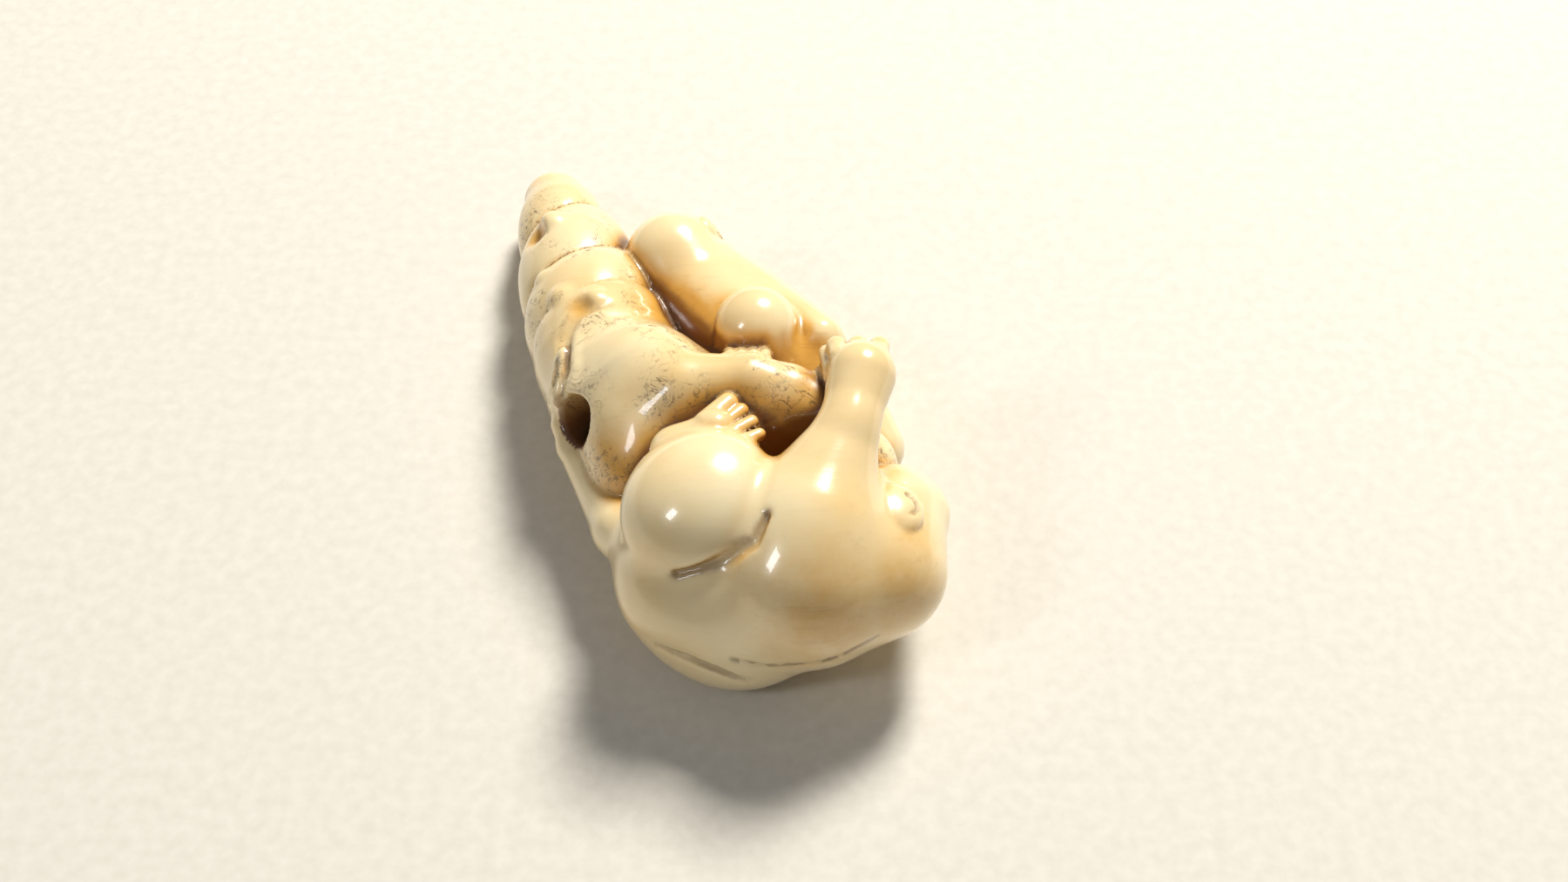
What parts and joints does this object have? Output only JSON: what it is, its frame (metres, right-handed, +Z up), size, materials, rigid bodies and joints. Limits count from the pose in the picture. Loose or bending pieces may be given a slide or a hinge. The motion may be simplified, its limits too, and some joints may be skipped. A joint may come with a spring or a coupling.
{
  "type": "netsuke",
  "caption": "Palm-sized toggle for a cord, carved in one piece as bald boys wound round a knobbed spiral shell, with a cord channel through the shell's flank.",
  "frame": {"origin": "bottom centre of the bounding box: the table it lies on is z = 0", "axes": "+Z up from the table, +Y along the shell towards its tip, +X to the right when looking along +Y, the side of the boys' heads and arms"},
  "size_m": [0.0363, 0.0536, 0.0192],
  "materials": {
    "ivory": "polished ivory, warm cream, honey-brown stain in the hollows and on the rubbed side"
  },
  "bodies": {
    "root": {"netsuke_carving": "ivory"}
  },
  "joints": []
}
